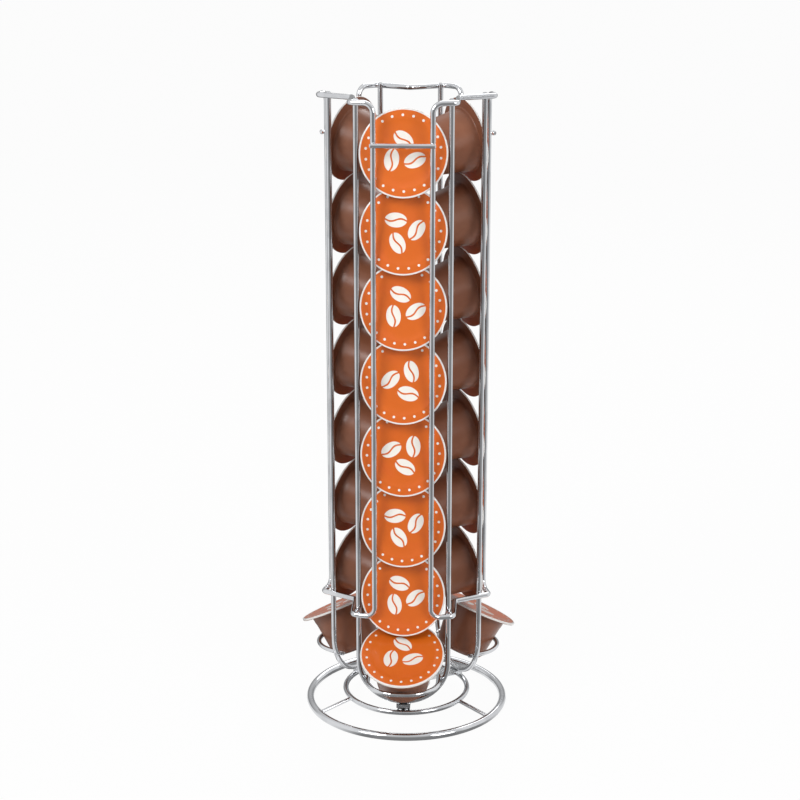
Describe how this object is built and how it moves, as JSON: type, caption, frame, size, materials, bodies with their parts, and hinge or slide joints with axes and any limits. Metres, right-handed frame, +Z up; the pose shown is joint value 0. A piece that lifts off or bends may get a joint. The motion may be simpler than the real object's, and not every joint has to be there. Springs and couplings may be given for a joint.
{
  "type": "coffee capsule holder",
  "caption": "Chrome wire tower that turns on a ringed wire base, with three columns of coffee capsules loaded from the top and taken from a tipped cradle at the foot.",
  "frame": {"origin": "middle of the footprint on the resting plane; the tower's turning axis stands just behind it, because the front capsule overhangs the base", "axes": "+Z up and parallel to the turning axis, -Y out of the front column, +X to the right seen from the front"},
  "size_m": [0.1448, 0.1466, 0.4089],
  "materials": {
    "chrome_wire": "bright chrome plate",
    "plated_strip": "plated steel strip",
    "bolt_steel": "zinc plated",
    "bearing_plastic": "natural nylon",
    "cup_plastic": "brown satin plastic",
    "foil": "orange printed foil with a pale rim"
  },
  "bodies": {
    "base": {"base_outer_ring": "chrome_wire", "base_inner_ring": "chrome_wire", "base_spoke_rear": "chrome_wire", "base_spoke_left": "chrome_wire", "base_spoke_right": "chrome_wire", "base_cross_strip": "plated_strip", "pivot_bolt": "bolt_steel", "thrust_washer": "bearing_plastic", "lock_nut": "bolt_steel"},
    "tower": {"hub_disc": "plated_strip", "hub_bush": "bearing_plastic", "hub_arm_front": "plated_strip", "column_frame_front": "chrome_wire", "stop_bar_front": "chrome_wire", "cradle_loop_front": "chrome_wire", "stack_cups_front": "cup_plastic", "stack_lids_front": "foil", "exit_cup_front": "cup_plastic", "exit_lid_front": "foil", "hub_arm_right": "plated_strip", "column_frame_right": "chrome_wire", "stop_bar_right": "chrome_wire", "cradle_loop_right": "chrome_wire", "stack_cups_right": "cup_plastic", "stack_lids_right": "foil", "exit_cup_right": "cup_plastic", "exit_lid_right": "foil", "hub_arm_left": "plated_strip", "column_frame_left": "chrome_wire", "stop_bar_left": "chrome_wire", "cradle_loop_left": "chrome_wire", "stack_cups_left": "cup_plastic", "stack_lids_left": "foil", "exit_cup_left": "cup_plastic", "exit_lid_left": "foil", "corner_rail_front_right": "chrome_wire", "corner_rail_back": "chrome_wire", "corner_rail_front_left": "chrome_wire"},
    "top_capsule_front": {"top_cup_front": "cup_plastic", "top_lid_front": "foil"},
    "top_capsule_right": {"top_cup_right": "cup_plastic", "top_lid_right": "foil"},
    "top_capsule_left": {"top_cup_left": "cup_plastic", "top_lid_left": "foil"}
  },
  "joints": [
    {"name": "tower_spin", "type": "hinge", "parent": "base", "child": "tower", "pos_m": [0, 0.00576, 0.012], "axis": [0, 0, 1], "continuous": true},
    {"name": "top_lift_front", "type": "slide", "parent": "tower", "child": "top_capsule_front", "axis": [0, 0, 1], "range_m": [0, 0.07]},
    {"name": "top_lift_right", "type": "slide", "parent": "tower", "child": "top_capsule_right", "axis": [0, 0, 1], "range_m": [0, 0.07]},
    {"name": "top_lift_left", "type": "slide", "parent": "tower", "child": "top_capsule_left", "axis": [0, 0, 1], "range_m": [0, 0.07]}
  ]
}
